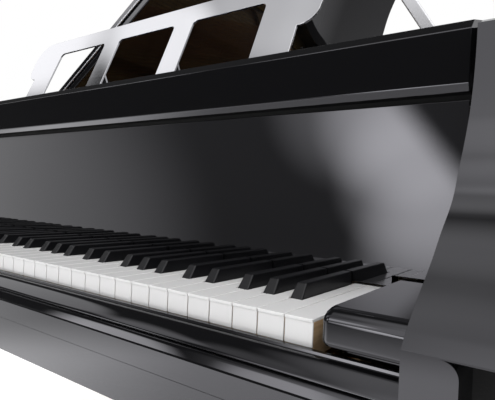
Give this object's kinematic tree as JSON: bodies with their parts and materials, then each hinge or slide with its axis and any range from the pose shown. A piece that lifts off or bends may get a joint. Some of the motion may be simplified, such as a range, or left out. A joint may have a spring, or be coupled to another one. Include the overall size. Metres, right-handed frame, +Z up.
{
  "type": "grand piano",
  "caption": "Black lacquered grand piano with a polished steel music desk, propped lid with folding front flap, upright fallboard, pedal lyre and casters.",
  "frame": {"origin": "centre of the floor area that the piano covers with its lid open, on the floor", "axes": "+Z up, +X towards the treble, +Y from the keyboard to the tail"},
  "size_m": [1.5564, 2.293, 1.8351],
  "materials": {
    "lacquer": "black polyester lacquer, mirror polished",
    "bare_wood": "bare beech and maple",
    "spruce": "satin varnish",
    "plate_bronze": "bronze paint",
    "polished_steel": "polished steel",
    "string_steel": "drawn wire",
    "string_copper": "copper winding",
    "brass": "polished",
    "key_white": "polished white key covering",
    "key_black": "satin black",
    "damper_felt": "black lacquered heads on felt",
    "hammer_felt": "pressed felt"
  },
  "bodies": {
    "case": {"rim": "lacquer", "inner_rim": "bare_wood", "arm_bass": "lacquer", "arm_treble": "lacquer", "keybed": "lacquer", "key_slip": "lacquer", "key_block_bass": "lacquer", "key_block_treble": "lacquer", "front_beam": "lacquer", "wrest_plank": "bare_wood", "iron_plate": "plate_bronze", "soundboard": "spruce", "case_braces": "bare_wood", "string_bridge": "bare_wood", "treble_strings": "string_steel", "bass_strings": "string_copper", "music_shelf": "lacquer", "prop_bracket": "polished_steel", "lid_hinge": "brass", "leg_front_bass": "lacquer", "leg_front_treble": "lacquer", "leg_rear": "lacquer", "lyre_frame": "lacquer", "pedal_box": "lacquer", "lyre_brace": "brass"},
    "fallboard": {"fallboard": "lacquer"},
    "lid": {"lid_main": "lacquer", "flap_hinge": "polished_steel", "lid_prop_seat": "polished_steel"},
    "flap": {"lid_flap": "lacquer"},
    "lid_prop": {"lid_prop": "polished_steel"},
    "desk": {"music_desk": "polished_steel"},
    "desk_strut": {"desk_strut": "polished_steel"},
    "action": {"key_frame": "bare_wood", "hammers": "hammer_felt"},
    "dampers": {"dampers": "damper_felt"},
    "pedal_left": {"pedal_left": "brass"},
    "pedal_middle": {"pedal_middle": "brass"},
    "pedal_right": {"pedal_right": "brass"},
    "caster_front_bass": {"caster_fork_front_bass": "brass"},
    "caster_front_treble": {"caster_fork_front_treble": "brass"},
    "caster_rear": {"caster_fork_rear": "brass"},
    "wheel_front_bass": {"caster_wheel_front_bass": "brass"},
    "wheel_front_treble": {"caster_wheel_front_treble": "brass"},
    "wheel_rear": {"caster_wheel_rear": "brass"},
    "white_keys_lower": {"white_keys_lower": "key_white"},
    "black_keys_lower": {"black_keys_lower": "key_black"},
    "white_key_45": {"white_key_45": "key_white"},
    "white_key_46": {"white_key_46": "key_white"},
    "white_key_47": {"white_key_47": "key_white"},
    "white_key_48": {"white_key_48": "key_white"},
    "white_key_49": {"white_key_49": "key_white"},
    "white_key_50": {"white_key_50": "key_white"},
    "white_key_51": {"white_key_51": "key_white"},
    "white_key_52": {"white_key_52": "key_white"},
    "black_key_32": {"black_key_32": "key_black"},
    "black_key_33": {"black_key_33": "key_black"},
    "black_key_34": {"black_key_34": "key_black"},
    "black_key_35": {"black_key_35": "key_black"},
    "black_key_36": {"black_key_36": "key_black"}
  },
  "joints": [
    {"name": "fallboard_hinge", "type": "hinge", "parent": "case", "child": "fallboard", "pos_m": [0.0122, -0.95751, 0.7425], "axis": [1, 0, 0], "range_deg": [0, 90]},
    {"name": "lid_closing", "type": "hinge", "parent": "case", "child": "lid", "pos_m": [-0.7588, -1.14651, 0.975], "axis": [0, 1, 0], "range_deg": [0, 32]},
    {"name": "flap_fold", "type": "hinge", "parent": "lid", "child": "flap", "pos_m": [-0.11748, -0.55551, 1.40362], "axis": [0.848, 0, 0.5299], "range_deg": [0, 180]},
    {"name": "lid_prop_fold", "type": "hinge", "parent": "case", "child": "lid_prop", "pos_m": [0.6802, -0.56551, 0.89], "axis": [0, -1, 0], "range_deg": [0, 58]},
    {"name": "desk_fold", "type": "hinge", "parent": "case", "child": "desk", "pos_m": [0.0122, -0.80851, 0.966], "axis": [-1, 0, 0], "range_deg": [0, 66.5]},
    {"name": "desk_strut_fold", "type": "hinge", "parent": "desk", "child": "desk_strut", "pos_m": [0.0122, -0.76465, 1.06688], "axis": [1, 0, 0], "range_deg": [0, 133]},
    {"name": "action_shift", "type": "slide", "parent": "case", "child": "action", "axis": [1, 0, 0], "range_m": [0, 0.0025], "stiffness_N_per_m": 2000, "springref_m": -0.005},
    {"name": "damper_lift", "type": "slide", "parent": "case", "child": "dampers", "axis": [0, 0, 1], "range_m": [0, 0.006], "stiffness_N_per_m": 500, "springref_m": -0.01},
    {"name": "pedal_left_press", "type": "hinge", "parent": "case", "child": "pedal_left", "pos_m": [-0.0538, -0.65851, 0.1], "axis": [1, 0, 0], "range_deg": [0, 6], "stiffness_Nm_per_rad": 8, "springref_deg": -8.59},
    {"name": "pedal_middle_press", "type": "hinge", "parent": "case", "child": "pedal_middle", "pos_m": [0.0122, -0.65851, 0.1], "axis": [1, 0, 0], "range_deg": [0, 6], "stiffness_Nm_per_rad": 8, "springref_deg": -8.59},
    {"name": "pedal_right_press", "type": "hinge", "parent": "case", "child": "pedal_right", "pos_m": [0.0782, -0.65851, 0.1], "axis": [1, 0, 0], "range_deg": [0, 6], "stiffness_Nm_per_rad": 8, "springref_deg": -8.59},
    {"name": "caster_swivel_front_bass", "type": "hinge", "parent": "case", "child": "caster_front_bass", "pos_m": [-0.6128, -0.89651, 0.078], "axis": [0, 0, 1], "continuous": true},
    {"name": "caster_swivel_front_treble", "type": "hinge", "parent": "case", "child": "caster_front_treble", "pos_m": [0.6372, -0.89651, 0.078], "axis": [0, 0, 1], "continuous": true},
    {"name": "caster_swivel_rear", "type": "hinge", "parent": "case", "child": "caster_rear", "pos_m": [-0.3678, 0.78349, 0.078], "axis": [0, 0, 1], "continuous": true},
    {"name": "wheel_spin_front_bass", "type": "hinge", "parent": "caster_front_bass", "child": "wheel_front_bass", "pos_m": [-0.62656, -0.87685, 0.03173], "axis": [0.8192, 0.5736, 0], "continuous": true},
    {"name": "wheel_spin_front_treble", "type": "hinge", "parent": "caster_front_treble", "child": "wheel_front_treble", "pos_m": [0.65097, -0.87685, 0.03173], "axis": [0.8192, -0.5736, 0], "continuous": true},
    {"name": "wheel_spin_rear", "type": "hinge", "parent": "caster_rear", "child": "wheel_rear", "pos_m": [-0.3918, 0.78349, 0.03173], "axis": [0, 1, 0], "continuous": true},
    {"name": "white_keys_lower_press", "type": "hinge", "parent": "action", "child": "white_keys_lower", "pos_m": [0.0122, -0.87851, 0.701], "axis": [1, 0, 0], "range_deg": [0, 2.5], "stiffness_Nm_per_rad": 44, "springref_deg": -14.32},
    {"name": "black_keys_lower_press", "type": "hinge", "parent": "action", "child": "black_keys_lower", "pos_m": [0.0122, -0.87851, 0.701], "axis": [1, 0, 0], "range_deg": [0, 2.5], "stiffness_Nm_per_rad": 31, "springref_deg": -14.32},
    {"name": "white_key_45_press", "type": "hinge", "parent": "action", "child": "white_key_45", "pos_m": [0.0122, -0.87851, 0.701], "axis": [1, 0, 0], "range_deg": [0, 2.5], "stiffness_Nm_per_rad": 1, "springref_deg": -14.32},
    {"name": "white_key_46_press", "type": "hinge", "parent": "action", "child": "white_key_46", "pos_m": [0.0122, -0.87851, 0.701], "axis": [1, 0, 0], "range_deg": [0, 2.5], "stiffness_Nm_per_rad": 1, "springref_deg": -14.32},
    {"name": "white_key_47_press", "type": "hinge", "parent": "action", "child": "white_key_47", "pos_m": [0.0122, -0.87851, 0.701], "axis": [1, 0, 0], "range_deg": [0, 2.5], "stiffness_Nm_per_rad": 1, "springref_deg": -14.32},
    {"name": "white_key_48_press", "type": "hinge", "parent": "action", "child": "white_key_48", "pos_m": [0.0122, -0.87851, 0.701], "axis": [1, 0, 0], "range_deg": [0, 2.5], "stiffness_Nm_per_rad": 1, "springref_deg": -14.32},
    {"name": "white_key_49_press", "type": "hinge", "parent": "action", "child": "white_key_49", "pos_m": [0.0122, -0.87851, 0.701], "axis": [1, 0, 0], "range_deg": [0, 2.5], "stiffness_Nm_per_rad": 1, "springref_deg": -14.32},
    {"name": "white_key_50_press", "type": "hinge", "parent": "action", "child": "white_key_50", "pos_m": [0.0122, -0.87851, 0.701], "axis": [1, 0, 0], "range_deg": [0, 2.5], "stiffness_Nm_per_rad": 1, "springref_deg": -14.32},
    {"name": "white_key_51_press", "type": "hinge", "parent": "action", "child": "white_key_51", "pos_m": [0.0122, -0.87851, 0.701], "axis": [1, 0, 0], "range_deg": [0, 2.5], "stiffness_Nm_per_rad": 1, "springref_deg": -14.32},
    {"name": "white_key_52_press", "type": "hinge", "parent": "action", "child": "white_key_52", "pos_m": [0.0122, -0.87851, 0.701], "axis": [1, 0, 0], "range_deg": [0, 2.5], "stiffness_Nm_per_rad": 1, "springref_deg": -14.32},
    {"name": "black_key_32_press", "type": "hinge", "parent": "action", "child": "black_key_32", "pos_m": [0.0122, -0.87851, 0.701], "axis": [1, 0, 0], "range_deg": [0, 2.5], "stiffness_Nm_per_rad": 1, "springref_deg": -14.32},
    {"name": "black_key_33_press", "type": "hinge", "parent": "action", "child": "black_key_33", "pos_m": [0.0122, -0.87851, 0.701], "axis": [1, 0, 0], "range_deg": [0, 2.5], "stiffness_Nm_per_rad": 1, "springref_deg": -14.32},
    {"name": "black_key_34_press", "type": "hinge", "parent": "action", "child": "black_key_34", "pos_m": [0.0122, -0.87851, 0.701], "axis": [1, 0, 0], "range_deg": [0, 2.5], "stiffness_Nm_per_rad": 1, "springref_deg": -14.32},
    {"name": "black_key_35_press", "type": "hinge", "parent": "action", "child": "black_key_35", "pos_m": [0.0122, -0.87851, 0.701], "axis": [1, 0, 0], "range_deg": [0, 2.5], "stiffness_Nm_per_rad": 1, "springref_deg": -14.32},
    {"name": "black_key_36_press", "type": "hinge", "parent": "action", "child": "black_key_36", "pos_m": [0.0122, -0.87851, 0.701], "axis": [1, 0, 0], "range_deg": [0, 2.5], "stiffness_Nm_per_rad": 1, "springref_deg": -14.32}
  ],
  "couplings": [
    {"joint": "lid_prop_fold", "follows": "lid_closing", "ratio": 1.8125},
    {"joint": "desk_strut_fold", "follows": "desk_fold", "ratio": 2},
    {"joint": "pedal_left_press", "follows": "action_shift", "rad_per_m": 41.88},
    {"joint": "pedal_right_press", "follows": "damper_lift", "rad_per_m": 17.45}
  ]
}
